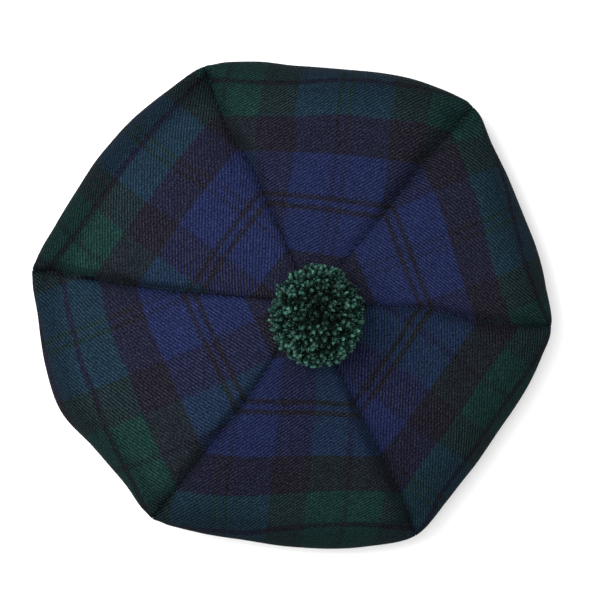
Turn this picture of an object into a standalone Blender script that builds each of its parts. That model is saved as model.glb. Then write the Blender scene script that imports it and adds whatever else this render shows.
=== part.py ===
"""Tam o' shanter: a soft, flat tartan crown of six gores, a doubled headband and a wool pompom.

The hat lies on a surface as it does by itself. +Z is up and the surface is z = 0. The origin is
the middle of the hat's footprint, and +Y is the top of the hat as it is looked down on. Each gore
is one piece of cloth: it starts at the apex under the pompom, spreads to the soft fold at the
hat's edge, turns under, and ends between the two layers of the headband. Its two long sides are
turned into the hat as seam allowances.
"""

import math
from collections import namedtuple

import bmesh
import bpy
from mathutils import Matrix, Vector

MM = 0.001

# Cloth and seams
CLOTH = 1.5 * MM
SEAM_GAP = 0.3 * MM
SEAM_BEND = 1.8 * MM
ALLOWANCE = 5.0 * MM
SEAM_VALLEY_WIDTH = 13.0 * MM

# Crown: the apex is off the middle of the footprint, because the crown lies askew
APEX = Vector((9.9 * MM, 1.4 * MM, 52.0 * MM))
TIP_RADIUS = 6.0 * MM
SEAM_FOLD_Z = 33.0 * MM
SEAM_FLATNESS = 3.0
SEAM_ROLL_SHARE = 0.75
VALLEY_STARTS = 0.1
VALLEY_IS_DEEP = 0.85

# Underside: how far out and down the cloth hangs beside the headband, as shares of a gore's roll
HANG_OUT_SHARE = 1.4
HANG_DOWN_SHARE = 0.55

# Headband: doubled, with a slot between its layers for the gores' hems
BAND_HEIGHT = 34.0 * MM
BAND_FOOT = 1.1 * MM
BAND_FOLD_THICKNESS = 2.5 * MM
SLOT = 2.4 * MM
SLOT_DEPTH = 9.0 * MM
SLOT_TAPER = 6.0 * MM
LAYER_GAP = 0.6 * MM
HEM_DEPTH = 6.5 * MM

# Pompom
POMPOM_LEAN = Vector((4.0 * MM, -7.0 * MM, 0.0))
POMPOM_HALF_SIZES = Vector((22.6 * MM, 24.8 * MM, 22.0 * MM))
POMPOM_SEAT_DEPTH = 18.0 * MM
LOCK_LENGTH = 2.8 * MM
LOCK_GAP = 1.1 * MM
TIE_RADIUS = 4.2 * MM
TIE_ROOT = 6.0 * MM
KNOT_RADIUS = 8.0 * MM
KNOT_FOOT_RADIUS = 5.6 * MM
KNOT_HEIGHT = 4.0 * MM
SEAT_GAP = 0.3 * MM

# Mesh fineness
COLUMNS = 10
TOP_ROWS = 9
UNDER_ROWS = 6
HEM_ROWS = 2
BAND_STEPS = 12

# One row for each gore, anticlockwise. seam_deg is the bearing of its first seam. reach is the
# fold's distance from the apex at that seam and at each sixth of the way to the next one, and band
# is the headband's at that seam and halfway. fold_z is the fold's height in the middle, flatness
# says how far out the top stays flat, roll is how far the cloth hangs under the fold, and valley is
# how deep it sinks at the first seam.
Gore = namedtuple("Gore", "seam_deg reach band fold_z flatness roll valley")
GORES = (
    Gore(-5.5, (130.5, 127.7, 125.6, 124.9, 126.4, 130.0), (82.4, 80.6), 28.0, 3.0, 17.0, 4.0),
    Gore(50.0, (138.0, 135.0, 130.5, 127.4, 128.2, 133.4), (82.0, 87.5), 27.0, 3.2, 16.0, 6.0),
    Gore(114.0, (139.8, 137.8, 137.6, 138.2, 139.6, 143.7), (95.0, 104.9), 29.0, 4.0, 18.0, 6.0),
    Gore(173.5, (150.4, 147.4, 147.2, 144.6, 140.8, 140.0), (113.2, 111.6), 28.0, 3.8, 18.0, 5.0),
    Gore(233.7, (144.0, 137.1, 132.8, 132.2, 132.4, 134.5), (101.5, 93.4), 26.0, 2.8, 15.0, 5.0),
    Gore(294.2, (137.3, 129.8, 125.0, 122.7, 123.3, 126.6), (86.0, 83.6), 27.0, 2.6, 16.0, 6.0),
)

TARTAN_COLOUR = (0.0155, 0.0280, 0.0470)
BAND_COLOUR = (0.0145, 0.0270, 0.0400)
POMPOM_COLOUR = (0.0110, 0.0420, 0.0330)


def clear_scene():
    for obj in list(bpy.data.objects):
        bpy.data.objects.remove(obj)


def collection(name):
    made = bpy.data.collections.new(name)
    bpy.context.scene.collection.children.link(made)
    return made


def material(name, colour, roughness):
    made = bpy.data.materials.new(name)
    made.use_nodes = True
    shader = made.node_tree.nodes["Principled BSDF"]
    shader.inputs["Base Color"].default_value = (*colour, 1.0)
    shader.inputs["Roughness"].default_value = roughness
    shader.inputs["Metallic"].default_value = 0.0
    made.diffuse_color = (*colour, 1.0)
    return made


def add_object(name, mesh, home, finish):
    mesh.materials.append(finish)
    obj = bpy.data.objects.new(name, mesh)
    home.objects.link(obj)
    return obj


def mesh_of(bm, name):
    mesh = bpy.data.meshes.new(name)
    bm.to_mesh(mesh)
    bm.free()
    return mesh


def smooth_step(low, high, x):
    t = min(1.0, max(0.0, (x - low) / (high - low)))
    return t * t * (3.0 - 2.0 * t)


def round_the_hat(values, place):
    """A smooth closed curve through evenly spaced values, read at place, counted in values."""
    k = math.floor(place)
    t = place - k
    before, start, end, after = (values[(k + i) % len(values)] for i in (-1, 0, 1, 2))
    return start + 0.5 * t * (
        end - before
        + t * (2.0 * before - 5.0 * start + 4.0 * end - after)
        + t * t * (3.0 * (start - end) + after - before)
    )


REACHES = [reach * MM for gore in GORES for reach in gore.reach]
BAND_REACHES = [reach * MM for gore in GORES for reach in gore.band]


class Panel:
    """The outer face of one gore.

    a runs across it from 0 at its first seam to 1 at its last. Every column of points stands in
    one upright plane through the apex, so two neighbours share the plane of their seam.
    """

    def __init__(self, index):
        self.index = index
        self.gore = GORES[index]
        self.next = GORES[(index + 1) % len(GORES)]
        whole_turn = 360.0 if self.next.seam_deg < self.gore.seam_deg else 0.0
        self.spread_deg = self.next.seam_deg + whole_turn - self.gore.seam_deg

    def out(self, a):
        """The level direction from the apex along column a."""
        bearing = math.radians(self.gore.seam_deg + self.spread_deg * a)
        return Vector((math.cos(bearing), math.sin(bearing), 0.0))

    def between_seams(self, at_seams, in_middle, a):
        return at_seams + (in_middle - at_seams) * math.sin(math.pi * a)

    def reach(self, a):
        return round_the_hat(REACHES, (self.index + a) * len(self.gore.reach))

    def valley(self, a):
        """How far the cloth sinks beside its two seams at the fold."""
        width = math.radians(self.spread_deg) * self.reach(a)
        sink = 0.0
        for depth, distance in ((self.gore.valley, a), (self.next.valley, 1.0 - a)):
            sink += depth * MM * math.exp(-((distance * width / SEAM_VALLEY_WIDTH) ** 2))
        return sink

    def top(self, a, share):
        """A point on the crown's top, at share of the way from the apex to the fold."""
        fold_z = self.between_seams(SEAM_FOLD_Z, self.gore.fold_z * MM, a)
        flatness = self.between_seams(SEAM_FLATNESS, self.gore.flatness, a)
        depth = self.valley(a) * smooth_step(VALLEY_STARTS, VALLEY_IS_DEEP, share)
        rise = APEX.z - fold_z - depth
        height = fold_z + rise * math.sqrt(max(0.0, 1.0 - share ** flatness))
        spot = APEX + self.out(a) * (self.reach(a) * share)
        return Vector((spot.x, spot.y, height))

    def band(self, a):
        """A point on the line down the middle of the headband."""
        reach = round_the_hat(BAND_REACHES, (self.index + a) * len(self.gore.band))
        spot = APEX + self.out(a) * reach
        return Vector((spot.x, spot.y, 0.0))

    def band_outward(self, a):
        step = 0.5 / BAND_STEPS
        along = self.band(a + step) - self.band(a - step)
        return Vector((along.y, -along.x, 0.0)).normalized()

    def hem(self, a, depth):
        """A point on the hem, at a depth inside the headband's slot."""
        face = self.band(a) + self.out(a) * (CLOTH / 2)
        return face + Vector((0.0, 0.0, BAND_HEIGHT - depth))

    def under(self, a, t):
        """A point on the underside: t = 0 at the fold and 1 over the headband's slot."""
        start = self.top(a, 1.0)
        end = self.hem(a, -CLOTH)
        roll = self.gore.roll * MM * self.between_seams(SEAM_ROLL_SHARE, 1.0, a)
        below_fold = start - Vector((0.0, 0.0, roll))
        hang = Vector((0.0, 0.0, HANG_DOWN_SHARE * roll))
        beside_band = end + self.out(a) * (HANG_OUT_SHARE * roll) - hang
        u = 1.0 - t
        return (
            start * u ** 3
            + below_fold * (3 * u * u * t)
            + beside_band * (3 * u * t * t)
            + end * t ** 3
        )

    def rows(self):
        """One function of a for each row of points, from the tip to the hem."""
        rows = []
        for k in range(TOP_ROWS + 1):
            rows.append(lambda a, k=k: self.top(a, self.top_share(a, k)))
        for k in range(1, UNDER_ROWS + 1):
            rows.append(lambda a, k=k: self.under(a, k / UNDER_ROWS))
        for k in range(1, HEM_ROWS + 1):
            rows.append(lambda a, k=k: self.hem(a, HEM_DEPTH * k / HEM_ROWS))
        return rows

    def top_share(self, a, k):
        """Rows crowd together towards the fold, where the cloth turns over."""
        tip = TIP_RADIUS / self.reach(a)
        return tip + (1.0 - tip) * math.sin(math.pi / 2 * k / TOP_ROWS)


def seam_allowance(seam, k, out, side):
    """The turned-in edge beside point k of a seam: its bend, its root and its end.

    side is 1 where the gore lies anticlockwise of the seam, and -1 where it lies clockwise.
    """
    along = (seam[k + 1] - seam[max(0, k - 1)]).normalized()
    aside = Vector((-out.y, out.x, 0.0)) * side
    outward = along.cross(aside) * side
    bend = SEAM_BEND * (1.0 - math.sqrt(0.5))
    face = seam[k] + aside * (SEAM_GAP / 2)
    return (
        face + aside * bend - outward * bend,
        face - outward * SEAM_BEND,
        face - outward * ALLOWANCE,
    )


def make_gore(index, home, finish):
    """A cloth panel: a grid of points over its face, turned in at both seams down to the band."""
    panel = Panel(index)
    rows = panel.rows()
    first_seam = [row(0.0) for row in rows]
    last_seam = [row(1.0) for row in rows]
    turned_rows = len(rows) - HEM_ROWS - 1
    bm = bmesh.new()
    grid = []
    for k, row in enumerate(rows):
        turned = k < turned_rows
        edge = SEAM_GAP / 2 + (SEAM_BEND if turned else 0.0)
        start = edge / (last_seam[k] - first_seam[k]).length
        line = []
        for j in range(COLUMNS + 1):
            even = j / COLUMNS
            crowded = 0.5 - 0.5 * math.cos(math.pi * even)
            a = start + (1.0 - 2.0 * start) * (even + crowded) / 2
            line.append(row(a))
        if turned:
            before = seam_allowance(first_seam, k, panel.out(0.0), 1)
            line = [*reversed(before), *line, *seam_allowance(last_seam, k, panel.out(1.0), -1)]
        grid.append([bm.verts.new(point) for point in line])
    allowance = (len(grid[0]) - len(grid[-1])) // 2
    for upper, lower in zip(grid, grid[1:]):
        if len(upper) > len(lower):
            upper = upper[allowance:-allowance]
        for j in range(len(lower) - 1):
            bm.faces.new((upper[j], lower[j], lower[j + 1], upper[j + 1]))
    name = f"gore_{index + 1}"
    obj = add_object(name, mesh_of(bm, name), home, finish)
    wall = obj.modifiers.new("cloth", "SOLIDIFY")
    wall.thickness = CLOTH
    wall.offset = -1.0
    wall.use_even_offset = True
    obj.data.shade_smooth()


def band_profile():
    """The doubled headband in section: distance out from its middle line, and height.

    The two layers stand apart at the top, where they hold the hems, and close up below them.
    """
    half = SLOT / 2 + CLOTH
    low = LAYER_GAP / 2 + CLOTH
    slot_foot = BAND_HEIGHT - SLOT_DEPTH
    narrow = slot_foot - SLOT_TAPER
    outer = [
        (half, BAND_HEIGHT),
        (half, slot_foot),
        (low, narrow),
        (low, BAND_FOLD_THICKNESS / 2),
        (BAND_FOOT, 0.0),
    ]
    slot = [
        (SLOT / 2, BAND_HEIGHT),
        (SLOT / 2, slot_foot),
        (LAYER_GAP / 2, narrow),
        (LAYER_GAP / 2, BAND_FOLD_THICKNESS),
    ]
    mirrored = [(-x, z) for x, z in reversed(outer)]
    return outer + mirrored + [(-x, z) for x, z in slot] + slot[::-1]


def make_headband(home, finish):
    """The doubled section carried round the head opening."""
    profile = band_profile()
    bm = bmesh.new()
    rings = []
    for index in range(len(GORES)):
        panel = Panel(index)
        for step in range(BAND_STEPS):
            a = step / BAND_STEPS
            middle, outward = panel.band(a), panel.band_outward(a)
            ring = [middle + outward * x + Vector((0.0, 0.0, z)) for x, z in profile]
            rings.append([bm.verts.new(point) for point in ring])
    for ring, after in zip(rings, rings[1:] + rings[:1]):
        for j in range(len(profile)):
            i = (j + 1) % len(profile)
            bm.faces.new((ring[j], ring[i], after[i], after[j]))
    bmesh.ops.recalc_face_normals(bm, faces=bm.faces)
    add_object("headband", mesh_of(bm, "headband"), home, finish)


def yarn_ball():
    """A ball of short locks standing out of a solid core, cut flat where it sits."""
    bm = bmesh.new()
    bmesh.ops.create_icosphere(bm, subdivisions=3, radius=1.0)
    for vert in bm.verts:
        vert.co = Vector(d * h for d, h in zip(vert.co.normalized(), POMPOM_HALF_SIZES))
    bmesh.ops.inset_individual(
        bm, faces=bm.faces, thickness=LOCK_GAP, depth=LOCK_LENGTH, use_even_offset=True
    )
    cut = bmesh.ops.bisect_plane(
        bm,
        geom=bm.verts[:] + bm.edges[:] + bm.faces[:],
        plane_co=(0.0, 0.0, -POMPOM_SEAT_DEPTH),
        plane_no=(0.0, 0.0, -1.0),
        clear_outer=True,
    )
    rim = [edge for edge in cut["geom_cut"] if isinstance(edge, bmesh.types.BMEdge)]
    bmesh.ops.holes_fill(bm, edges=rim, sides=0)
    bmesh.ops.recalc_face_normals(bm, faces=bm.faces)
    middle = APEX + POMPOM_LEAN + Vector((0.0, 0.0, POMPOM_SEAT_DEPTH + SEAT_GAP))
    bmesh.ops.translate(bm, verts=bm.verts, vec=middle)
    return bm


def round_pin(foot_radius, top_radius, foot, top):
    """An upright round pin under the apex, between two heights."""
    bm = bmesh.new()
    bmesh.ops.create_cone(
        bm,
        cap_ends=True,
        segments=16,
        radius1=foot_radius,
        radius2=top_radius,
        depth=top - foot,
        matrix=Matrix.Translation((APEX.x, APEX.y, (top + foot) / 2)),
    )
    return bm


def make_pompom(home, cutters, finish):
    """The yarn ball, with its tie down through the apex and the knot that holds it there."""
    pompom = add_object("pompom", mesh_of(yarn_ball(), "pompom"), home, finish)
    knot_top = APEX.z - ALLOWANCE - SEAT_GAP
    knot_foot = knot_top - KNOT_HEIGHT
    tie = round_pin(TIE_RADIUS, TIE_RADIUS, knot_foot + KNOT_HEIGHT / 2, APEX.z + TIE_ROOT)
    knot = round_pin(KNOT_FOOT_RADIUS, KNOT_RADIUS, knot_foot, knot_top)
    for name, bm in (("tie", tie), ("knot", knot)):
        piece = add_object(name, mesh_of(bm, name), cutters, finish)
        piece.hide_render = True
        piece.display_type = "WIRE"
        join = pompom.modifiers.new(f"join_{name}", "BOOLEAN")
        join.operation = "UNION"
        join.object = piece


def build():
    clear_scene()
    hat = collection("tam_o_shanter")
    cutters = collection("cutters")
    cloth = material("tartan_cloth", TARTAN_COLOUR, 0.9)
    strip = material("headband_cloth", BAND_COLOUR, 0.9)
    yarn = material("pompom_yarn", POMPOM_COLOUR, 0.95)
    for index in range(len(GORES)):
        make_gore(index, hat, cloth)
    make_headband(hat, strip)
    make_pompom(hat, cutters, yarn)


build()
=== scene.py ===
"""Tam o' shanter: a soft tartan crown of six gores, a doubled headband and a wool pompom.

The hat lies by itself on a table and is looked at from straight above. Every size is in metres.
"""

import math
from collections import namedtuple

import bmesh
import bpy
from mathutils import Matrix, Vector, noise


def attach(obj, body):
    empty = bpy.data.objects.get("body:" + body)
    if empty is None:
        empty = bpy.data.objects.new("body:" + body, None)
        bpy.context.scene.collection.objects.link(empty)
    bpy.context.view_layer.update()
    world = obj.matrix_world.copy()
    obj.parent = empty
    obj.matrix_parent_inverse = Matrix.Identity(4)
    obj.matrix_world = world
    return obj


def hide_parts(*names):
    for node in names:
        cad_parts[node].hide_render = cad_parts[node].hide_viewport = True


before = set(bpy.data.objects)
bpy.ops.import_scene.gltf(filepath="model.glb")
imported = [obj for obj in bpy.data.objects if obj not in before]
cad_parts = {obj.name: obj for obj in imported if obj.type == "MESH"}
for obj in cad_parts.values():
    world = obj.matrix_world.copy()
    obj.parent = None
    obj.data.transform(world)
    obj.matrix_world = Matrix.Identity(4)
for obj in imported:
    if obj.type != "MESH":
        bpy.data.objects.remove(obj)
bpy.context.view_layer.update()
MM = 0.001


# ------------------------------------------------------------
# The view: a table top seen from straight above, 1.2 m over the crown's edge. The hat fills nine
# tenths of the picture. One soft light hangs over its upper left side and a wider one over all.

VIEW_CENTRE = Vector((4.6 * MM, 2.7 * MM, 30.0 * MM))
VIEW_WIDTH = 323.7 * MM
VIEW_DISTANCE = 1.2
SENSOR_WIDTH = 36.0
ROOM_LIGHT = 0.65
TABLE_HALF_WIDTH = 2.0
UP = Vector((0.0, 0.0, 1.0))

scene = bpy.context.scene


def set_out(name, data):
    """An object in the scene, made of a mesh, a camera or a light."""
    made = bpy.data.objects.new(name, data)
    scene.collection.objects.link(made)
    return made


lens = bpy.data.cameras.new("overhead")
lens.sensor_width = SENSOR_WIDTH
lens.lens = SENSOR_WIDTH * VIEW_DISTANCE / VIEW_WIDTH
camera = set_out("overhead", lens)
camera.location = VIEW_CENTRE + UP * VIEW_DISTANCE
scene.camera = camera
scene.view_settings.view_transform = "Standard"


def hang_light(name, place, power, size):
    lamp = bpy.data.lights.new(name, "AREA")
    lamp.shape = "DISK"
    lamp.size = size
    lamp.energy = power
    light = set_out(name, lamp)
    light.location = place
    light.rotation_euler = (VIEW_CENTRE - Vector(place)).to_track_quat("-Z", "Y").to_euler()


hang_light("window_light", (-0.44, 0.22, 0.85), power=9.5, size=0.7)
hang_light("ceiling_light", (-0.05, 0.05, 1.9), power=27.0, size=1.2)
scene.world = bpy.data.worlds.new("room")
scene.world.use_nodes = True
surroundings = scene.world.node_tree.nodes["Background"].inputs
surroundings["Color"].default_value = (1.0, 1.0, 1.0, 1.0)
surroundings["Strength"].default_value = ROOM_LIGHT


class Socket:
    """An output of a node. Arithmetic on it adds Math nodes, and add() puts in any other node."""

    tree = None  # the tree that is being made, which every new node goes into

    def __init__(self, socket):
        self.socket = socket

    @staticmethod
    def add(kind, values=None, out=None, **settings):
        """A new node: its settings first, then the values or links of its inputs."""
        made = Socket.tree.nodes.new(kind)
        for name, value in settings.items():
            if name == "stops":
                ramp = made.color_ramp
                while len(ramp.elements) > 1:
                    ramp.elements.remove(ramp.elements[-1])
                for k, (place, colour) in enumerate(value):
                    stop = ramp.elements[0] if k == 0 else ramp.elements.new(place)
                    stop.position = place
                    stop.color = (*colour, 1.0)
            elif name == "interpolation":
                made.color_ramp.interpolation = value
            else:
                setattr(made, name, value)
        for name, value in (values or {}).items():
            Socket.fill(Socket.find(made.inputs, name), value)
        return Socket(Socket.find(made.outputs, out))

    @staticmethod
    def find(sockets, name):
        """A socket by its number, or the one in use that has this name, or the first in use."""
        if isinstance(name, int):
            return sockets[name]
        return next(s for s in sockets if s.enabled and name in (None, s.name))

    @staticmethod
    def fill(target, value):
        if isinstance(value, Socket):
            Socket.tree.links.new(value.socket, target)
        else:
            target.default_value = value

    def __getitem__(self, name):
        """Another output of the same node."""
        return Socket(Socket.find(self.socket.node.outputs, name))

    @staticmethod
    def math(operation, *values):
        return Socket.add("ShaderNodeMath", dict(enumerate(values)), operation=operation)

    def first_of(operation):
        """A method that adds a Math node with this socket as its first value."""
        return lambda self, *values: Socket.math(operation, self, *values)

    __add__ = __radd__ = first_of("ADD")
    __mul__ = __rmul__ = first_of("MULTIPLY")
    __sub__ = first_of("SUBTRACT")
    __truediv__ = first_of("DIVIDE")
    __pow__ = first_of("POWER")
    __gt__ = first_of("GREATER_THAN")
    whole = first_of("FLOOR")
    part = first_of("FRACT")
    swing = first_of("PINGPONG")
    cosine = first_of("COSINE")
    most = first_of("MAXIMUM")
    least = first_of("MINIMUM")

    def __rsub__(self, value):
        return Socket.math("SUBTRACT", value, self)


def new_finish(name):
    """A material, whose tree is made next."""
    made = bpy.data.materials.new(name)
    made.use_nodes = True
    Socket.tree = made.node_tree
    return made


def set_finish(values):
    """Each socket of the shader: a link where it changes over the surface, or else one value."""
    for name, value in values.items():
        Socket.fill(Socket.tree.nodes["Principled BSDF"].inputs[name], value)


def blend_colours(factor, low, high, mode="MIX"):
    values = {"Factor": factor, "A": low, "B": high}
    return Socket.add("ShaderNodeMix", values, data_type="RGBA", blend_type=mode)


def mottle(place, scale, detail=2.0):
    """Soft patches from 0 to 1, scale of them to the metre."""
    values = {"Vector": place, "Scale": scale, "Detail": detail}
    return Socket.add("ShaderNodeTexNoise", values)


def end_mesh(bm, name, finish=None):
    """The mesh that has been built, in its material."""
    mesh = bpy.data.meshes.new(name)
    bm.to_mesh(mesh)
    bm.free()
    if finish:
        mesh.materials.append(finish)
    return mesh


table_finish = new_finish("white_table")
blotches = mottle(Socket.add("ShaderNodeTexCoord", out="Object"), 6.0)
white = blend_colours(blotches, (0.86, 0.86, 0.86, 1.0), (0.90, 0.90, 0.90, 1.0))
set_finish({"Base Color": white, "Roughness": 0.9})
table_top = bmesh.new()
bmesh.ops.create_grid(table_top, x_segments=1, y_segments=1, size=TABLE_HALF_WIDTH)
table = set_out("table_top", end_mesh(table_top, "table_top", table_finish))


# ------------------------------------------------------------
# The crown: six gores of brushed wool twill. Each is one panel that runs from the apex over the
# top, folds softly at the hat's edge and turns under to the headband. Neighbours are sewn side by
# side, with their edges turned in.

APEX = Vector((9.9 * MM, 1.4 * MM, 52.0 * MM))
TIP_RADIUS = 6.0 * MM
CLOTH = 1.2 * MM
SEAM_GAP = 0.04 * MM
SEAM_BEND = 0.9 * MM
SEAM_BEND_AT_FOLD = 0.45 * MM
SEAM_BEND_REACH = 6.0 * SEAM_BEND
SEAM_BEND_STEPS_DEG = (25.0, 50.0, 75.0)
ALLOWANCE = 5.0 * MM
SEAM_FOLD_Z = 33.0 * MM
SEAM_FLATNESS = 5.0
SEAM_ROLL = 12.6 * MM
SEAM_VALLEY_WIDTH = 13.0 * MM
SEAM_VALLEY_ROUND, SEAM_VALLEY_SHARP = 0.55, 0.45
SEAM_VALLEY_SLOPE = 2.4
SEAM_CREASE_WIDTH = 2.0 * MM
SEAM_CREASE_DEPTH = 1.6 * MM
SINK_LEFT_NEAR_FOLD = 1.9
PUFF = 1.5 * MM
PUFF_LIES_OUT = 1.7
BOW_STEP = 20.0 * MM
HANG_OUT_SHARE = 1.4
HANG_DOWN_SHARE = 0.55
BAND_HEIGHT = 34.0 * MM
HEM_DEPTH = 6.5 * MM
COLUMNS = 84
TOP_ROWS = 76
UNDER_ROWS = 36
HEM_ROWS = 3
FREE_ROWS = 2
COLUMNS_EVEN, COLUMNS_CROWDED = 0.3, 0.7
ROWS_EVEN, ROWS_CROWDED = 0.25, 0.75

# Where each change starts and ends, as a share of the way from the apex to the fold.
VALLEY_DEEPENS = (0.1, 0.85)
PINCH_DEEPENS = (0.25, 0.75)
PINCH_FADES = (0.93, 1.0)
CREASE_DEEPENS = (0.0, 0.3)
BEND_TIGHTENS = (0.55, 0.9)
SEAM_SHADE_GROWS = (0.55, 0.95)
PAINTED_LIGHT_EVENS_OUT = (0.92, 1.15)

# One row for each gore, anticlockwise. seam_deg is the bearing of its first seam. reach is the
# fold's distance from the apex at that seam and at each sixth of the way to the next one, and band
# is the headband's at that seam and halfway. fold_z is the fold's height in the middle, flatness
# says how far out the top stays flat, and roll is how far the cloth hangs under the fold. valley is
# how deep the cloth sinks at the first seam. pinch is how much deeper it is drawn in near the
# corner, and how wide on this gore's side and on the side of the gore before it: narrow is steep.
# bow is how far that seam strays anticlockwise from a straight line, every 20 mm from the apex.
Gore = namedtuple("Gore", "seam_deg reach band fold_z flatness roll valley pinch bow")
GORES = (
    Gore(-5.5, (130.5, 127.7, 125.6, 124.9, 126.4, 130.0), (82.4, 80.6), 26.0, 9.0, 16.0, 3.0,
         (3.0, 6.0, 4.5), (0.0, 0.9, 2.0, 2.3, 0.0, -1.8, -0.8, 0.0)),
    Gore(50.0, (137.0, 134.2, 130.3, 127.5, 128.6, 134.2), (82.0, 87.5), 25.0, 10.0, 15.0, 4.0,
         (6.5, 9.0, 20.0), (0.0, 0.0, 0.0, 0.0, 0.3, 1.2, 1.0, 0.0)),
    Gore(114.0, (139.2, 137.6, 137.6, 138.2, 139.6, 143.7), (95.0, 104.9), 26.5, 9.0, 16.5, 4.0,
         (6.5, 20.0, 6.0), (0.0, -1.0, -1.2, -0.9, -1.4, 1.9, 1.7, 0.1)),
    Gore(173.5, (150.4, 147.4, 147.6, 147.4, 141.2, 139.8), (113.2, 111.6), 25.5, 9.0, 16.5, 4.0,
         (6.5, 20.0, 4.5), (0.0, 0.6, 1.2, 1.9, 2.3, 1.8, 0.9, -0.5)),
    Gore(233.7, (144.0, 138.2, 133.3, 133.0, 133.7, 135.8), (101.5, 93.4), 27.0, 3.4, 15.0, 4.0,
         (2.4, 8.0, 5.0), (0.0, 0.8, 1.8, 2.8, 2.2, 1.6, 1.2, 0.5)),
    Gore(294.2, (137.8, 130.4, 125.8, 123.9, 124.8, 127.6), (86.0, 83.6), 26.0, 7.0, 15.5, 4.0,
         (5.0, 18.0, 7.0), (0.0, -0.9, -1.2, 0.0, 0.6, 2.0, 2.0, 0.4)),
)
REACHES = [reach * MM for gore in GORES for reach in gore.reach]
BAND_REACHES = [reach * MM for gore in GORES for reach in gore.band]


def level(angle):
    """The level direction at this angle from +X, in radians."""
    return Vector((math.cos(angle), math.sin(angle), 0.0))


def left_of(out):
    return Vector((-out.y, out.x, 0.0))


def smooth_step(low, high, x):
    t = min(1.0, max(0.0, (x - low) / (high - low)))
    return t * t * (3.0 - 2.0 * t)


def curve_through(values, k, t):
    """A smooth curve at t of the way between values k and k + 1. Its ends are values too."""
    before, start, end, after = (values[i] for i in (k - 1, k, k + 1, k + 2))
    return start + 0.5 * t * (
        end - before
        + t * (2.0 * before - 5.0 * start + 4.0 * end - after)
        + t * t * (3.0 * (start - end) + after - before)
    )


def read_along(values, place):
    """A smooth open curve through evenly spaced values, read at place, counted in values."""
    place = min(max(place, 0.0), len(values) - 1.001)
    k = math.floor(place)
    return curve_through((values[0], *values, values[-1]), k + 1, place - k)


def round_the_hat(values, place):
    """A smooth closed curve through evenly spaced values, read at place, counted in values."""
    k = math.floor(place)
    near = [values[(k + i) % len(values)] for i in (-1, 0, 1, 2)]
    return curve_through(near, 1, place - k)


def bow_of(gore, distance):
    """How far a gore's first seam strays from straight, at this distance from the apex."""
    return MM * read_along(gore.bow, distance / BOW_STEP)


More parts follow.
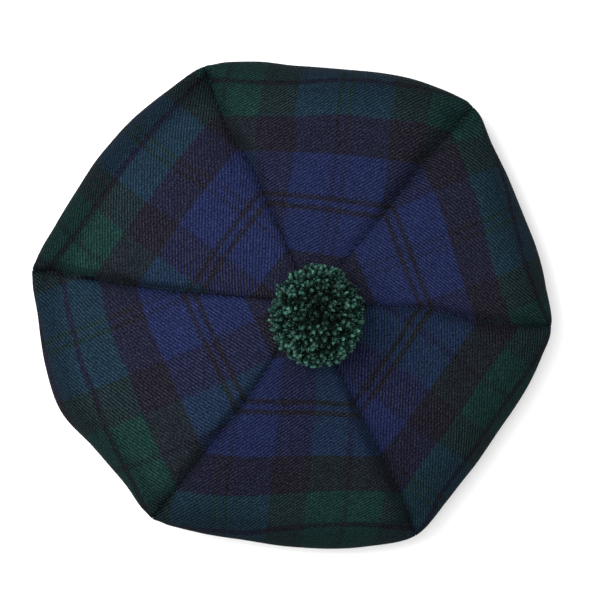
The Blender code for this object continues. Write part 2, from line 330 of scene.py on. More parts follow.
class Panel:
    """The outer face of one gore. a runs across it from 0 at its first seam to 1 at its last."""

    def __init__(self, index):
        self.index = index
        self.gore = GORES[index]
        self.next = GORES[(index + 1) % len(GORES)]
        whole_turn = 360.0 if self.next.seam_deg < self.gore.seam_deg else 0.0
        self.spread_deg = self.next.seam_deg + whole_turn - self.gore.seam_deg

    def out(self, a):
        return level(math.radians(self.gore.seam_deg + self.spread_deg * a))

    def between_seams(self, at_seams, in_middle, a):
        return at_seams + (in_middle - at_seams) * math.sin(math.pi * a)

    def reach(self, a):
        return round_the_hat(REACHES, (self.index + a) * 6)

    def sink(self, a, share):
        """How far the cloth sinks beside its two seams."""
        fold_width = math.radians(self.spread_deg) * self.reach(a)
        deep = smooth_step(*VALLEY_DEEPENS, share)
        pinched = smooth_step(*PINCH_DEEPENS, share) * (1.0 - smooth_step(*PINCH_FADES, share))
        total = 0.0
        sides = ((self.gore, a, self.gore.pinch[1]), (self.next, 1.0 - a, self.next.pinch[2]))
        for gore, away, pinch_width in sides:
            wide = away * fold_width / SEAM_VALLEY_WIDTH
            close = away * fold_width * share / SEAM_CREASE_WIDTH
            valley = SEAM_VALLEY_ROUND * math.exp(-wide * wide)
            valley += SEAM_VALLEY_SHARP * math.exp(-SEAM_VALLEY_SLOPE * wide)
            total += gore.valley * MM * deep * valley
            near = away * fold_width / (pinch_width * MM)
            total += gore.pinch[0] * MM * pinched * math.exp(-near * near)
            total += SEAM_CREASE_DEPTH * math.exp(-close) * smooth_step(*CREASE_DEEPENS, share)
        return total

    def aside(self, a, distance):
        """The sideways stray of column a, shared between the bows of its two seams."""
        stray = bow_of(self.gore, distance) * (1.0 - a) + bow_of(self.next, distance) * a
        return left_of(self.out(a)) * stray

    def top(self, a, share):
        """A point on the crown's top, at share of the way from the apex to the fold."""
        fold_z = self.between_seams(SEAM_FOLD_Z, self.gore.fold_z * MM, a)
        flatness = self.between_seams(SEAM_FLATNESS, self.gore.flatness, a)
        rise = APEX.z - fold_z
        profile = math.sqrt(max(0.0, 1.0 - share ** flatness))
        sink = self.sink(a, share) * min(1.0, SINK_LEFT_NEAR_FOLD * profile)
        puff = PUFF * math.sin(math.pi * share ** PUFF_LIES_OUT)
        height = fold_z + rise * profile - sink + puff * (0.5 + 0.5 * math.sin(math.pi * a))
        reach = self.reach(a) * share
        spot = APEX + self.out(a) * reach + self.aside(a, reach)
        return Vector((spot.x, spot.y, height))

    def band(self, a):
        """A point on the line down the middle of the headband."""
        reach = round_the_hat(BAND_REACHES, (self.index + a) * 2)
        spot = APEX + self.out(a) * reach
        return Vector((spot.x, spot.y, 0.0))

    def hem(self, a, depth):
        """A point on the hem, at a depth inside the headband's slot."""
        return self.band(a) + self.out(a) * (CLOTH / 2) + UP * (BAND_HEIGHT - depth)

    def under(self, a, t):
        """A point on the underside: t = 0 at the fold and 1 over the headband's slot."""
        start = self.top(a, 1.0)
        end = self.hem(a, -CLOTH)
        roll = self.between_seams(SEAM_ROLL, self.gore.roll * MM, a)
        below_fold = start - UP * roll
        hang = UP * (HANG_DOWN_SHARE * roll)
        beside_band = end + self.out(a) * (HANG_OUT_SHARE * roll) - hang
        u = 1.0 - t
        return (
            start * u ** 3
            + below_fold * (3 * u * u * t)
            + beside_band * (3 * u * t * t)
            + end * t ** 3
        )

    def column(self, a):
        """The points of one column, from the tip to the hem."""
        tip = TIP_RADIUS / self.reach(a)
        points = []
        for k in range(TOP_ROWS + 1):
            crowded = math.sin(math.pi / 2 * k / TOP_ROWS)
            even = k / TOP_ROWS
            share = tip + (1.0 - tip) * (ROWS_CROWDED * crowded + ROWS_EVEN * even)
            points.append(self.top(a, share))
        points += [self.under(a, k / UNDER_ROWS) for k in range(1, UNDER_ROWS + 1)]
        points += [self.hem(a, HEM_DEPTH * k / HEM_ROWS) for k in range(1, HEM_ROWS + 1)]
        return points


# The waves of the soft wool, counted to the metre, how far a seam puckers it and holds it flat, and
# where its gathers grow and end on the underside, as shares of the way from the fold to the hem.
SLOW_WAVES, QUICK_WAVES, PUCKERS, GATHERS = 17.0, 48.0, 105.0, 34.0
PUCKER_REACH = 9.0 * MM
HELD_REACH = 3.0 * MM
GATHERS_GROW = (0.0, 0.5)
GATHERS_END = (0.85, 1.0)


def ruffle(point, from_seam, turn):
    """How far soft wool stands out of the plain shape: slow waves, and puckers beside a seam.

    turn is 0 on the top, and grows to 1 at the end of the underside. Heights are in millimetres.
    """
    slow = noise.noise(point * SLOW_WAVES + Vector((3.1, 0.0, 0.0)))
    quick = noise.noise(point * QUICK_WAVES + Vector((0.0, 7.7, 0.0)))
    pucker = noise.noise(point * PUCKERS + Vector((0.0, 0.0, 5.3)))
    gather = noise.noise(Vector((point.x * GATHERS, point.y * GATHERS, 2.0)))
    beside = math.exp(-from_seam / PUCKER_REACH)
    held = 1.0 - math.exp(-((from_seam / HELD_REACH) ** 2))
    on_top = 0.9 * slow + 0.4 * quick + 1.0 * beside * pucker
    gathered = 2.2 * gather + 0.8 * quick
    mix = smooth_step(*GATHERS_GROW, turn)
    at_hem = 1.0 - smooth_step(*GATHERS_END, turn)
    return MM * held * (on_top * (1.0 - mix) + gathered * mix * at_hem)


def seam_edge(points, out):
    """For each point of a seam: the level direction across it, and the direction out of the hat."""
    across = left_of(out)
    frames = []
    for k in range(len(points)):
        along = (points[min(k + 3, len(points) - 1)] - points[max(0, k - 3)]).normalized()
        frames.append((across, along.cross(across).normalized()))
    return frames


def seam_bend(k):
    """The radius of the seam's bend in row k: it is tightest where the cloth is stretched over."""
    tighter = smooth_step(*BEND_TIGHTENS, k / TOP_ROWS)
    return SEAM_BEND + (SEAM_BEND_AT_FOLD - SEAM_BEND) * tighter


def turned_in(point, across, outward, side, radius):
    """The turned-in edge beside a point of a seam: round its bend and down to its end."""
    face = point + across * (side * SEAM_GAP / 2)
    bend = []
    for turn in SEAM_BEND_STEPS_DEG:
        angle = math.radians(turn)
        aside = across * (side * radius * (1.0 - math.sin(angle)))
        bend.append(face + aside - outward * (radius * (1.0 - math.cos(angle))))
    root = face - outward * radius
    end = face - outward * ALLOWANCE
    return [*bend, root, (root + end) / 2, end]


# Where the tartan lies on each gore, in millimetres: the middle of its pair of thin lines, out from
# the apex and across from the gore's middle, how far the cloth is eased in across and out, and how
# far the lines that run across wander outwards, from the gore's right side to its left. nap is
# painted light: how light each gore is painted, for the way light falls on it, the share that it
# loses to painted shade where the cloth bends over the edge away from the light, how far out that
# starts, and over how much of the way it comes. Next is the painted shade in the crease along its
# first seam, halfway out and at the edge. Below the fold all gores are painted equally light. Last
# is how much more the threads that run across show, painted for the way light falls on each gore's
# ribs.
Cut = namedtuple("Cut", "pair_out pair_across ease_across ease_out wander nap pressed weft_up")
CUTS = (
    Cut(56.0, -2.7, 0.96, 0.90, (-2.1, -3.2, -2.9, 0.0, 3.2, 4.8, 6.4),
        (0.96, 0.27, 0.58, 0.27), (0.10, 0.55), 0.05),
    Cut(52.5, 5.1, 0.92, 0.98, (1.6, 1.9, 1.3, 0.0, -3.7, -6.4, -6.9),
        (0.95, 0.27, 0.60, 0.27), (0.08, 0.38), 0.0),
    Cut(53.5, 19.0, 0.93, 0.98, (-2.1, -1.1, -0.5, 0.0, 0.0, 0.3, 0.8),
        (1.04, 0.45, 0.68, 0.12), (0.28, 0.45), -0.03),
    Cut(56.2, 33.8, 1.06, 0.97, (-4.8, -2.7, -0.5, 0.0, 1.6, 2.1, 2.1),
        (1.07, 0.31, 0.71, 0.12), (0.45, 0.65), 0.0),
    Cut(55.4, 37.6, 0.93, 0.95, (5.3, 4.8, 3.7, 0.0, -3.2, -4.8, -4.2),
        (0.83, 0.24, 0.70, 0.12), (0.35, 0.58), 0.05),
    Cut(52.5, 48.8, 0.98, 0.94, (1.6, -0.5, 0.0, 0.0, -0.3, 0.0, 0.0),
        (0.80, 0.17, 0.60, 0.27), (0.22, 0.52), 0.08),
)
SEAM_SHADE_WIDTH = 1.6 * MM
PAINTED_LIGHT_BELOW_FOLD = 0.75
WANDER_STEP = 21.2 * MM
WANDER_FULL_AT = 101.0 * MM
WANDER_MOST = 1.3
CLOTH_MAP = "cloth"


def build_gore(index, finish):
    """One panel as a mesh, with its cloth laid out flat in the map named cloth, in metres.

    The width and length that it is cut to, and its area, come with it.
    """
    panel = Panel(index)
    cut, next_cut = CUTS[index], CUTS[(index + 1) % len(CUTS)]
    places = []
    for j in range(COLUMNS + 1):
        even = j / COLUMNS
        crowded = 0.5 - 0.5 * math.cos(math.pi * even)
        places.append(COLUMNS_EVEN * even + COLUMNS_CROWDED * crowded)
    columns = [panel.column(a) for a in places]
    seams = (columns[0], columns[-1])
    frames = (seam_edge(seams[0], panel.out(0.0)), seam_edge(seams[1], panel.out(1.0)))
    rows = len(seams[0])
    turned_rows = rows - HEM_ROWS - FREE_ROWS

    # the ruffled face, with its first and last columns moved in to the seams' bends
    face = []
    for j in range(COLUMNS + 1):
        line = []
        for k in range(rows):
            point = columns[j][k]
            beside = columns[min(j + 1, COLUMNS)][k] - columns[max(j - 1, 0)][k]
            after = columns[j][min(k + 1, rows - 1)] - columns[j][max(k - 1, 0)]
            normal = after.cross(beside).normalized()
            width = (seams[1][k] - seams[0][k]).length
            from_seam = min(places[j], 1.0 - places[j]) * width
            turn = max(0.0, (k - TOP_ROWS) / (rows - 1 - TOP_ROWS))
            line.append(point + normal * ruffle(point, from_seam, turn))
        face.append(line)
    for k in range(rows):
        bend = SEAM_GAP / 2 + (seam_bend(k) if k < turned_rows else 0.0)
        for end, side in ((0, 1), (1, -1)):
            across = frames[end][k][0] * side
            for j in range(COLUMNS + 1)[::side]:
                away = (face[j][k] - seams[end][k]).dot(across)
                if away > SEAM_BEND_REACH:
                    break
                fade = 1.0 - max(0.0, away) / SEAM_BEND_REACH
                face[j][k] = face[j][k] + across * (bend * fade)

    # the flat cloth: u across and v out from the apex, measured along each column
    flat = []
    middle = math.radians(panel.spread_deg) / 2
    for j in range(COLUMNS + 1):
        angle = (2.0 * places[j] - 1.0) * middle
        length = TIP_RADIUS
        line = []
        for k in range(rows):
            if k:
                length += (face[j][k] - face[j][k - 1]).length
            if k <= TOP_ROWS:
                line.append([-length * math.sin(angle), length * math.cos(angle)])
            else:
                width = (face[-1][k] - face[0][k]).length
                fold = (face[-1][TOP_ROWS] - face[0][TOP_ROWS]).length
                step = (columns[j][k] - columns[j][k - 1]).length
                u = line[TOP_ROWS][0] * (width / fold)
                v = line[-1][1] + math.sqrt(max(0.0, step ** 2 - (u - line[-1][0]) ** 2))
                line.append([u, v])
        flat.append(line)

    def on_tartan(spot):
        u, v = spot
        stray = MM * read_along(cut.wander, (len(cut.wander) - 1) / 2 - u / WANDER_STEP)
        v -= stray * min(v / WANDER_FULL_AT, WANDER_MOST) ** 2
        return (
            (u - cut.pair_across * MM) / cut.ease_across,
            (v - cut.pair_out * MM) / cut.ease_out,
        )

    # points and faces: the columns, and outside them the turned-in edges
    bm = bmesh.new()
    uv_layer = bm.loops.layers.uv.new(CLOTH_MAP)
    # two values on each point carry painted light and shade to the material
    nap_light = bm.verts.layers.float.new("nap_light")
    weft_up = bm.verts.layers.float.new("weft_up")
    spots = {}

    def vertex(point, spot, k):
        made = bm.verts.new(point)
        out = k / TOP_ROWS
        # painted shade in the crease along each of the gore's two seams
        pressed = 0.0
        for end, (inner, outer) in enumerate((cut.pressed, next_cut.pressed)):
            from_seam = (point - seams[end][k]).dot(frames[end][k][0])
            loss = inner + (outer - inner) * smooth_step(*SEAM_SHADE_GROWS, out)
            pressed += loss * math.exp(-((from_seam / SEAM_SHADE_WIDTH) ** 2))
        # painted light: each gore lighter or darker for the way light falls on it, with painted
        # shade where the cloth bends over the edge, and one painted lightness below the fold
        lightness, loss, start, over = cut.nap
        lightness *= 1.0 - loss * smooth_step(start, start + over, out)
        lightness += (PAINTED_LIGHT_BELOW_FOLD - lightness) * smooth_step(*PAINTED_LIGHT_EVENS_OUT, out)
        made[nap_light] = lightness * (1.0 - pressed) - 1.0
        made[weft_up] = cut.weft_up
        spots[made] = on_tartan(spot)
        return made

    edges = []
    for end, j, side in ((0, 0, 1), (1, COLUMNS, -1)):
        strips = []
        for k in range(turned_rows):
            across, outward = frames[end][k]
            u, v = flat[j][k]
            line, beside = [], face[j][k]
            for point in turned_in(seams[end][k], across, outward, side, seam_bend(k)):
                u += side * (point - beside).length
                beside = point
                line.append(vertex(point, (u, v), k))
            strips.append(line)
        edges.append([list(strip) for strip in zip(*strips)])
    grid = [[vertex(face[j][k], flat[j][k], k) for k in range(rows)] for j in range(COLUMNS + 1)]
    lines = edges[0][::-1] + grid + edges[1]
    for line, after in zip(lines, lines[1:]):
        for k in range(min(len(line), len(after)) - 1):
            made = bm.faces.new((line[k], line[k + 1], after[k + 1], after[k]))
            made.smooth = True
            for loop in made.loops:
                loop[uv_layer].uv = spots[loop.vert]
    at_fold = [line[TOP_ROWS][0] for line in flat]
    cut_size = (
        max(at_fold) - min(at_fold) + 2.0 * ALLOWANCE,
        max(line[-1][1] for line in flat) - TIP_RADIUS,
    )
    area = sum(f.calc_area() for f in bm.faces)
    return end_mesh(bm, f"gore_cloth_{index + 1}", finish), cut_size, area


# Brushed twill of the tartan: blue, green and black threads both ways, each over two and under
# two. The pitch of the threads and the places in half of the sett are in millimetres.
WARP_PITCH = 0.705
WEFT_PITCH = 0.495
HALF_SETT = 140.2
BLUE = (0.0067, 0.0111, 0.0474)
BLACK = (0.0061, 0.0050, 0.0104)
GREEN = (0.0026, 0.0192, 0.0176)
FINE_LINE = (0.0034, 0.0044, 0.0078)
# grey of loose fibres, partly real fuzz and partly painted sheen on the ribs
FIBRE_AND_SHEEN_GREY = (0.050, 0.055, 0.058, 1.0)
FINE_LINE_WIDTH = 4.0
SHOWS_IN_WARP = 0.85
LEAST_DYED = 0.014
SETT = (
    (0.0, BLUE), (1.4, BLACK), (4.3, BLUE), (27.2, BLACK), (48.2, GREEN), (68.7, FINE_LINE),
    (71.9, GREEN), (92.4, BLACK), (113.4, BLUE), (117.2, BLACK), (120.1, BLUE), (122.9, BLACK),
    (125.8, BLUE),
)


def sett_stops(fine_lines_show):
    """The sett as colour stops. A fine line keeps that share of its colour, over its ground's."""
    stops, ground = [], BLUE
    for k, (place, colour) in enumerate(SETT):
        end = SETT[k + 1][0] if k + 1 < len(SETT) else HALF_SETT
        if colour != ground and end - place < FINE_LINE_WIDTH and colour in (BLACK, FINE_LINE):
            colour = tuple(g + (c - g) * fine_lines_show for g, c in zip(ground, colour))
        else:
            ground = colour
        stops.append((place / HALF_SETT, colour))
    return stops


def x_and_y(vector):
    x = Socket.add("ShaderNodeSeparateXYZ", {0: vector})
    return x, x["Y"]


def vector_of(**axes):
    return Socket.add("ShaderNodeCombineXYZ", axes)


def carried(name):
    """A value that the mesh carries."""
    return Socket.add("ShaderNodeAttribute", out="Fac", attribute_name=name)


def lit(colour, light):
    """A colour at a share of its light."""
    shade = Socket.add("ShaderNodeCombineColor", {0: light, 1: light, 2: light})
    return blend_colours(1.0, colour, shade, "MULTIPLY")


def relief(height, strength, depth):
    values = {"Strength": strength, "Distance": depth, "Height": height}
    return Socket.add("ShaderNodeBump", values)


def weave_tartan(name):
    """Tartan twill that follows the cloth's own map, from its colours down to its threads."""
    finish = new_finish(name)
    spot = Socket.add("ShaderNodeUVMap", uv_map=CLOTH_MAP)
    heather = mottle(spot, 55.0)
    stray = mottle(spot, 260.0, 1.0)
    nap = mottle(spot, 1050.0)
    fuzz = mottle(spot, 2900.0, 1.0)
    x, y = x_and_y(spot)
    x = x / (WARP_PITCH * MM) + 1.1 * (stray - 0.5)
    y = y / (WEFT_PITCH * MM) + 1.6 * (heather - 0.5)
    warp, weft = x.whole(), y.whole()

    # how high each thread stands: the weft floats lie in raised diagonal ribs
    warp_round, weft_round = (1.0 - (axis.part() * 2.0 - 1.0) ** 2.0 for axis in (x, y))
    warp_float = ((warp - y).swing(2.0) * (math.pi / 2)).cosine()
    weft_float = ((x - weft - 3.0).swing(2.0) * (math.pi / 2)).cosine()
    warp_height = warp_round * 0.35 + warp_float * 0.5
    weft_height = weft_round * 0.30 + weft_float * 0.42
    rib = 0.5 - 0.5 * ((x - y - 0.5) * (math.pi / 2)).cosine()
    height = warp_height.most(weft_height) + 0.5 * rib
    warp_shows = ((warp_height - weft_height) * 0.8 + 0.42).least(0.66).most(0.16)

    # the colour of each thread, from its place in the sett. Blue and green ones, which have at
    # least LEAST_DYED of blue in them, show less than the dark ones.
    frayed = 4.6 * (nap - 0.5) + 1.0 * (stray - 0.5)
    threads = []
    for axis, pitch, fine_lines_show in ((x, WARP_PITCH, SHOWS_IN_WARP), (y, WEFT_PITCH, 1.0)):
        place = (((axis + frayed).whole() + 0.5) * pitch).swing(HALF_SETT) / HALF_SETT
        stops = sett_stops(fine_lines_show)
        ramp = Socket.add("ShaderNodeValToRGB", {0: place}, interpolation="CONSTANT", stops=stops)
        threads.append(ramp)
    warp_dyed, weft_dyed = (
        Socket.add("ShaderNodeSeparateColor", {0: thread}, "Blue") > LEAST_DYED
        for thread in threads
    )
    # each gore's painted light shifts how much of the weft's colour shows
    warp_shows = warp_shows - 0.15 * warp_dyed + 0.18 * weft_dyed - carried("weft_up")
    colour = blend_colours(warp_shows.most(0.05), threads[1], threads[0])

    # painted highlight on the ribs and painted shade in the gaps between them, uneven yarn along
    # each thread, and a nap of loose fibres over all. Where the fibres are grey they are partly
    # loose fuzz and partly painted sheen, most on the ribs. Over it all lie each gore's painted
    # light and the painted shade over the edge and in the seams' creases, which the mesh carries.
    slub = mottle(vector_of(X=x * 0.09, Y=weft * 1.7), 1.0, 1.0)
    painted_rib_highlight = rib * (0.7 + 0.3 * weft_round) * (0.35 + 1.3 * stray)
    light = 0.40 + 0.95 * painted_rib_highlight + 0.45 * (slub - 0.5) + 0.30 * (heather - 0.5)
    # each gore's painted light, with painted shade over the edge and in the seams' creases
    painted_light_share = 1.0 + carried("nap_light")
    light = (light * (2.2 * nap - 0.1)).most(0.06) * painted_light_share
    loose = ((nap - 0.40) * 3.0).most(0.0) * (0.3 + painted_rib_highlight) * 0.33 * painted_light_share
    colour = blend_colours(loose.least(0.4), lit(colour, light), FIBRE_AND_SHEEN_GREY)
    threads_and_nap = height * 0.8 + nap * 0.5 + fuzz * 0.2
    set_finish({
        "Base Color": colour,
        "Roughness": 0.80 + 0.18 * fuzz,
        "Normal": relief(threads_and_nap, 0.8, 0.30 * MM),
        "Sheen Weight": 0.01,
        "Sheen Roughness": 0.5,
        "Sheen Tint": (0.55, 0.6, 0.7, 1.0),
        "Specular IOR Level": 0.015,
    })
    return finish


# Inside, the two edges of each seam are bound together with overlock stitches.
OVERLOCK_PITCH = 2.3 * MM
OVERLOCK_HALF_WIDTH = 1.65 * MM
OVERLOCK_HALF_HEIGHT = 1.7 * MM
OVERLOCK_SLANT = 1.5 * MM
OVERLOCK_PAST_EDGE = 0.35 * MM
OVERLOCK_FROM_TIP, OVERLOCK_FROM_HEM = 4, 6
THREAD_RADIUS = 0.24 * MM
SOCKET_KINDS = {float: "NodeSocketFloat", int: "NodeSocketInt", type(None): "NodeSocketMaterial"}


def path_mesh(name, paths):
    """Edges through the points of each path. up is the direction out of the cloth at a point."""
    points, edges = [], []
    for path, closed in paths:
        first = len(points)
        points += path
        edges += [(k, k + 1) for k in range(first, len(points) - 1)]
        if closed:
            edges.append((len(points) - 1, first))
    mesh = bpy.data.meshes.new(name)
    mesh.from_pydata([point for point, _ in points], edges, [])
    up = mesh.attributes.new("up", "FLOAT_VECTOR", "POINT")
    up.data.foreach_set("vector", [c for _, direction in points for c in direction])
    return mesh


def new_tree(name, base, inputs, result):
    """The named inputs of a new tree of geometry nodes: the first is what it grows on."""
    tree = bpy.data.node_groups.new(name, "GeometryNodeTree")
    tree.interface.new_socket(base, in_out="INPUT", socket_type="NodeSocketGeometry")
    for label, value in inputs.items():
        kind = SOCKET_KINDS[type(value)]
        socket = tree.interface.new_socket(label, in_out="INPUT", socket_type=kind)
        if value is not None:
            socket.default_value = value
    tree.interface.new_socket(result, in_out="OUTPUT", socket_type="NodeSocketGeometry")
    Socket.tree = tree
    return Socket.add("NodeGroupInput")


def node(kind, *names, out=None, **settings):
    """A function that adds this node. Its arguments are the values of these sockets."""
    return lambda *values: Socket.add(kind, dict(zip(names, values)), out, **settings)


position = node("GeometryNodeInputPosition")
moved_to = node("GeometryNodeSetPosition", 0, "Position")
circle = node("GeometryNodeCurvePrimitiveCircle", "Resolution", "Radius")
curve_of = node("GeometryNodeMeshToCurve", 0)
tube = node("GeometryNodeCurveToMesh", "Curve", "Profile Curve", "Fill Caps", "Scale")
chance = node("FunctionNodeRandomValue", "Min", "Max", "Seed")
laid_out = node("GeometryNodeInstanceOnPoints", "Points", "Instance", "Rotation", "Scale")
made_real = node("GeometryNodeRealizeInstances", 0)


def end_tree(shape, finish):
    """The end of every tree: real geometry, smooth, with its material."""
    smooth = Socket.add("GeometryNodeSetShadeSmooth", {0: shape})
    values = {0: made_real(smooth), "Material": finish}
    dyed = Socket.add("GeometryNodeSetMaterial", values)
    Socket.fill(Socket.tree.nodes.new("NodeGroupOutput").inputs[0], dyed)
    return Socket.tree


def grow(name, base, tree, inputs):
    """The mesh that a tree of nodes makes from a base mesh."""
    carrier = set_out(name + "_base", base)
    modifier = carrier.modifiers.new("grow", "NODES")
    modifier.node_group = tree
    for item in tree.interface.items_tree:
        if item.item_type == "SOCKET" and item.in_out == "INPUT" and item.name in inputs:
            modifier[item.identifier] = inputs[item.name]
    graph = bpy.context.evaluated_depsgraph_get()
    mesh = bpy.data.meshes.new_from_object(carrier.evaluated_get(graph), depsgraph=graph)
    mesh.name = name
    bpy.data.objects.remove(carrier)
    return mesh


def overlock_loop(given):
    """A slanting loop of thread that goes over the raw edges, across y and down z."""
    x, y = x_and_y(position())
    slant, wide, high = given["Slant"], given["Half width"], given["Half height"]
    place = vector_of(X=x * slant * 0.5, Y=x * wide, Z=y * high)
    return moved_to(circle(10, 1.0), place)


def sewing_tree(name, inputs, stitch_of):
    """Stitches one after another along a path, each turned along it and out of the cloth."""
    common = {"Pitch": 2.5 * MM, "Thread radius": THREAD_RADIUS, "Seed": 5, "Thread": None}
    given = new_tree(name, "Path", {**common, **inputs}, "Stitches")
    values = {0: curve_of(given), "Length": given["Pitch"]}
    spaced = Socket.add("GeometryNodeResampleCurve", values, mode="LENGTH")
    align = "FunctionNodeAlignRotationToVector"
    tangent = Socket.add("GeometryNodeInputTangent")
    along = Socket.add(align, {"Vector": tangent}, axis="X")
    read = "GeometryNodeInputNamedAttribute"
    up = Socket.add(read, {"Name": "up"}, "Attribute", data_type="FLOAT_VECTOR")
    turned = Socket.add(align, {"Rotation": along, "Vector": up}, axis="Z", pivot_axis="X")
    stitch = tube(stitch_of(given), circle(6, given["Thread radius"]), True)
    size = chance(0.92, 1.06, given["Seed"])
    return end_tree(laid_out(spaced, stitch, turned, size), given["Thread"])


def sew(name, paths, pitch, sizes, stitch_of):
    """A row of stitches along each path, all one piece of thread."""
    tree = sewing_tree(name + "_tree", sizes, stitch_of)
    base = path_mesh(name + "_paths", paths)
    return set_out(name, grow(name, base, tree, {"Pitch": pitch, "Thread": thread}))


def spin_thread(name):
    """Dark navy sewing thread, a little glossy."""
    finish = new_finish(name)
    fibre = mottle(Socket.add("ShaderNodeTexCoord", out="Object"), 2600.0)
    navy = blend_colours(fibre, (0.004, 0.005, 0.012, 1.0), (0.014, 0.018, 0.036, 1.0))
    set_finish({
        "Base Color": navy,
        "Roughness": 0.50 + 0.25 * fibre,
        "Normal": relief(fibre, 0.5, 0.1 * MM),
        "Specular IOR Level": 0.2,
    })
    return finish


def overlock_path(panel):
    """The raw edges inside a gore's first seam, from near the apex down to the headband."""
    points = panel.column(0.0)
    frames = seam_edge(points, panel.out(0.0))
    rows = range(OVERLOCK_FROM_TIP, len(points) - HEM_ROWS - OVERLOCK_FROM_HEM)
    depth = ALLOWANCE - OVERLOCK_HALF_HEIGHT + OVERLOCK_PAST_EDGE
    return [(points[k] - frames[k][1] * depth, frames[k][1]) for k in rows]


tartan = weave_tartan("tartan_twill")
thread = spin_thread("sewing_thread")
for index in range(len(GORES)):
    mesh, cut_size, area = build_gore(index, tartan)
    gore = set_out(mesh.name, mesh)
    wall = gore.modifiers.new("cloth", "SOLIDIFY")
    wall.thickness = CLOTH
    wall.offset = -1.0
    wall.use_even_offset = False
    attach(gore, "root")
    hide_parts(f"gore_{index + 1}")

raw_edges = [(overlock_path(Panel(index)), False) for index in range(len(GORES))]
loop_sizes = {
    "Half width": OVERLOCK_HALF_WIDTH,
    "Half height": OVERLOCK_HALF_HEIGHT,
    "Slant": OVERLOCK_SLANT,
}
binding = sew("seam_overlock", raw_edges, OVERLOCK_PITCH, loop_sizes, overlock_loop)
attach(binding, "root")


# ------------------------------------------------------------
# The headband: one strip of the same cloth, folded double along its foot and closed to an oval.
# Its two layers hold the gores' hems, and two rows of stitches that go through both close it.

BAND_FOLD_THICKNESS = 2.5 * MM
SLOT = 2.4 * MM
SLOT_DEPTH = 9.0 * MM
SLOT_TAPER = 6.0 * MM
LAYER_GAP = 0.6 * MM
BAND_CLOTH = 1.5 * MM
BAND_STEPS = 48
BAND_WAVES, BAND_WAVE_DEPTH = 40.0, 0.35 * MM
BAND_ON_TARTAN = (31.0 * MM, 20.0 * MM)
JOIN_NIP = 0.55 * MM
JOIN_REACH = 2
TOP_STITCHES_BELOW_EDGE = 4.0 * MM
FOOT_STITCHES_Z = 4.5 * MM
STITCH_LENGTH = 2.5 * MM
STITCH_PITCH = 3.1 * MM
STITCH_RISE = 0.16 * MM


def band_section():
    """The doubled strip in section, as points of its outline.

    Each has its distance out from the middle line, its height, and how far round the cloth it is.
    """
    half = SLOT / 2 + BAND_CLOTH
    low = LAYER_GAP / 2 + BAND_CLOTH
    foot = BAND_HEIGHT - SLOT_DEPTH
    narrow = foot - SLOT_TAPER
    outer = [
        (half - 0.75 * MM, BAND_HEIGHT),
        (half - 0.2 * MM, BAND_HEIGHT - 0.25 * MM),
        (half, BAND_HEIGHT - 0.9 * MM),
        (half + 0.1 * MM, (BAND_HEIGHT + foot) / 2),
        (half - 0.1 * MM, foot),
        (low + 0.1 * MM, narrow),
        (low, (narrow + 1.25 * MM) / 2),
        (low, 2.2 * MM),
        (low - 0.25 * MM, 0.9 * MM),
        (low - 0.8 * MM, 0.15 * MM),
        (low - 1.4 * MM, 0.0),
    ]
    slot = [
        (SLOT / 2 + 0.15 * MM, BAND_HEIGHT - 0.3 * MM),
        (SLOT / 2, BAND_HEIGHT - 0.9 * MM),
        (SLOT / 2, foot),
        (LAYER_GAP / 2, narrow),
        (LAYER_GAP / 2, BAND_FOLD_THICKNESS),
    ]
    mirrored = [(-x, z) for x, z in reversed(outer)]
    ring = outer + mirrored + [(-x, z) for x, z in slot] + slot[::-1]
    placed, run = [], 0.0
    last = ring[0]
    for x, z in ring:
        run += math.hypot(x - last[0], z - last[1])
        last = (x, z)
        placed.append((x, z, run))
    return placed


def band_frames():
    """Points round the headband's middle line, each with its direction outward."""
    frames = []
    for index in range(len(GORES)):
        panel = Panel(index)
        for step in range(BAND_STEPS):
            a = step / BAND_STEPS
            along = panel.band(a + 0.02) - panel.band(a - 0.02)
            outward = Vector((along.y, -along.x, 0.0)).normalized()
            frames.append((panel.band(a), outward))
    return frames


def band_point(frames, k, x, z):
    """A point of the strip in frame k: it waves softly, and is nipped in where its ends join."""
    middle, outward = frames[k]
    wave = BAND_WAVE_DEPTH * noise.noise(middle * BAND_WAVES) * (z / BAND_HEIGHT)
    from_join = min(k, len(frames) - k) / JOIN_REACH
    nip = JOIN_NIP * math.exp(-2.0 * from_join * from_join)
    if abs(x) > SLOT / 2 + 0.2 * MM:
        x -= math.copysign(nip, x)
    return middle + outward * (x + wave) + UP * z


def build_band(frames, finish):
    section = band_section()
    bm = bmesh.new()
    uv_layer = bm.loops.layers.uv.new(CLOTH_MAP)
    rings, runs, run = [], [], 0.0
    u, v = BAND_ON_TARTAN
    for k, (middle, _) in enumerate(frames):
        if k:
            run += (middle - frames[k - 1][0]).length
        runs.append(run)
        rings.append([bm.verts.new(band_point(frames, k, x, z)) for x, z, _ in section])
    runs.append(run + (frames[0][0] - frames[-1][0]).length)
    for k, ring in enumerate(rings):
        after = rings[(k + 1) % len(rings)]
        for j in range(len(section)):
            i = (j + 1) % len(section)
            made = bm.faces.new((ring[j], ring[i], after[i], after[j]))
            made.smooth = True
            for loop, (end, n) in zip(made.loops, ((k, j), (k, i), (k + 1, i), (k + 1, j))):
                drop = section[-1][2] + 1.0 * MM if i == n == 0 else section[n][2]
                loop[uv_layer].uv = (runs[end] + u, v - drop)
    bmesh.ops.recalc_face_normals(bm, faces=bm.faces)
    return end_mesh(bm, "headband_cloth", finish)


band_line = band_frames()
band = set_out("headband_cloth", build_band(band_line, tartan))
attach(band, "root")
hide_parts("headband")


pushed = node("GeometryNodeSetPosition", 0, "Offset")
divided = node("GeometryNodeResampleCurve", 0, "Count")


